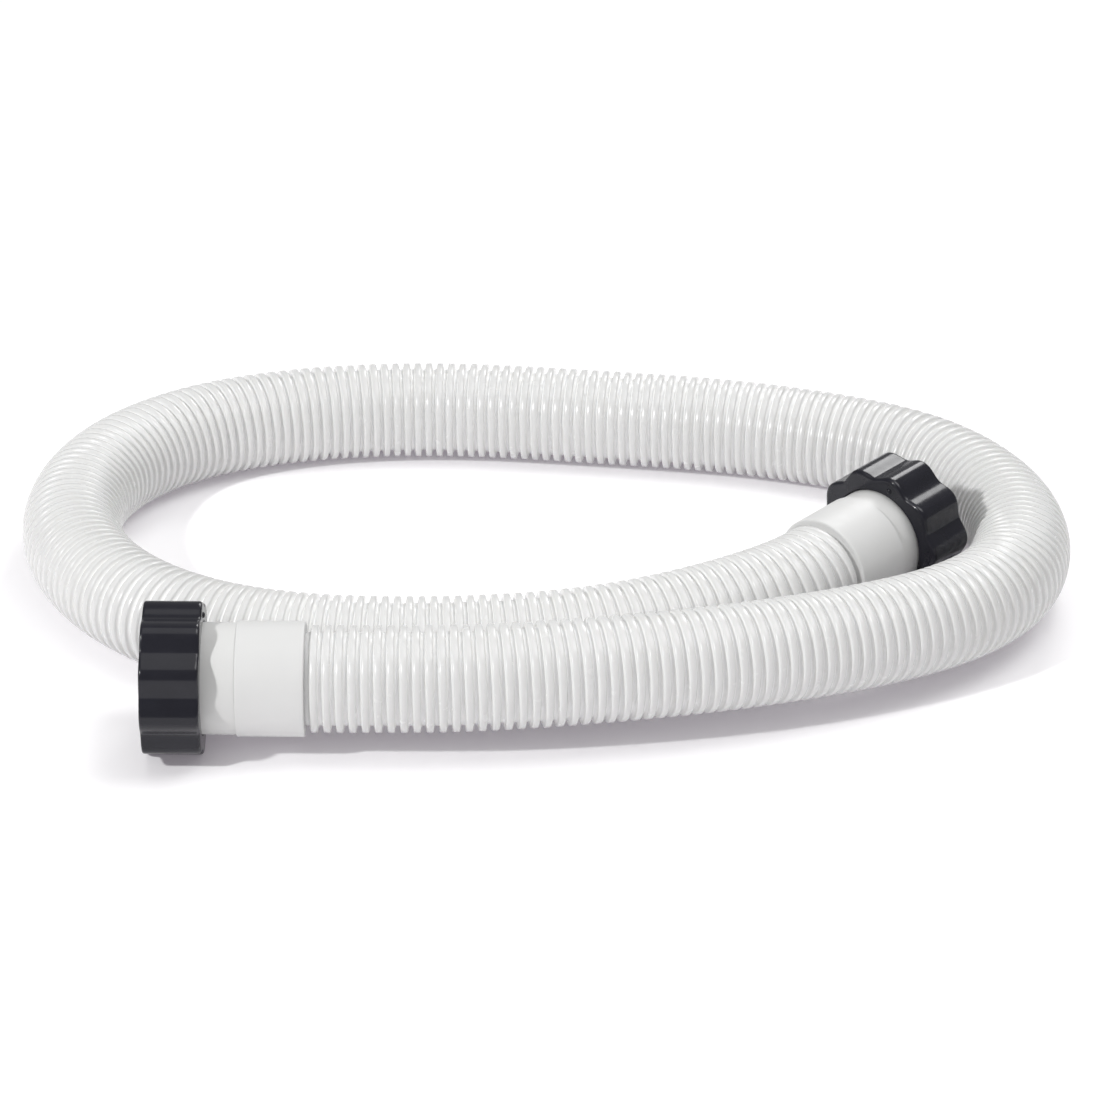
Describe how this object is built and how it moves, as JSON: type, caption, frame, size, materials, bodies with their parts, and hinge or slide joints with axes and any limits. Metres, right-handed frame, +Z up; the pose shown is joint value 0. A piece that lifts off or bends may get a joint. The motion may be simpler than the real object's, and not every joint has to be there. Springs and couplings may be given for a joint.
{
  "type": "pool connection hose with union nuts",
  "caption": "Flexible corrugated plastic pool hose lying in one loop, with a smooth cuff, a flanged tailpiece, a face seal and a free-spinning threaded union nut on each end.",
  "frame": {"origin": "bottom centre of the box around the cuffs, tailpieces, nuts and seals, on the ground between the hose's two ends", "axes": "+X from end A's nut towards end B, end A's mouth faces -X; +Y towards the far side of the loop; +Z up from the ground"},
  "size_m": [0.4736, 0.3421, 0.0655],
  "materials": {
    "hose_plastic": "milky white blown polyethylene, faintly translucent, glossy rings",
    "cuff_plastic": "smooth white moulded polyethylene",
    "tailpiece_plastic": "smooth white moulded plastic",
    "nut_plastic": "charcoal moulded plastic with a soft gloss",
    "seal_rubber": "matte black rubber"
  },
  "bodies": {
    "hose": {"hose_tube": "hose_plastic", "cuff_a": "cuff_plastic", "cuff_b": "cuff_plastic", "tailpiece_a": "tailpiece_plastic", "tailpiece_b": "tailpiece_plastic", "face_seal_a": "seal_rubber", "face_seal_b": "seal_rubber"},
    "nut_a": {"union_nut_a": "nut_plastic"},
    "nut_b": {"union_nut_b": "nut_plastic"}
  },
  "joints": [
    {"name": "nut_a_spin", "type": "hinge", "parent": "hose", "child": "nut_a", "pos_m": [-0.16479, -0.07196, 0.03236], "axis": [-0.9998, -0.0175, 0], "continuous": true},
    {"name": "nut_b_spin", "type": "hinge", "parent": "hose", "child": "nut_b", "pos_m": [0.14497, 0.07323, 0.03277], "axis": [0.6687, 0.7427, 0.0349], "continuous": true}
  ]
}
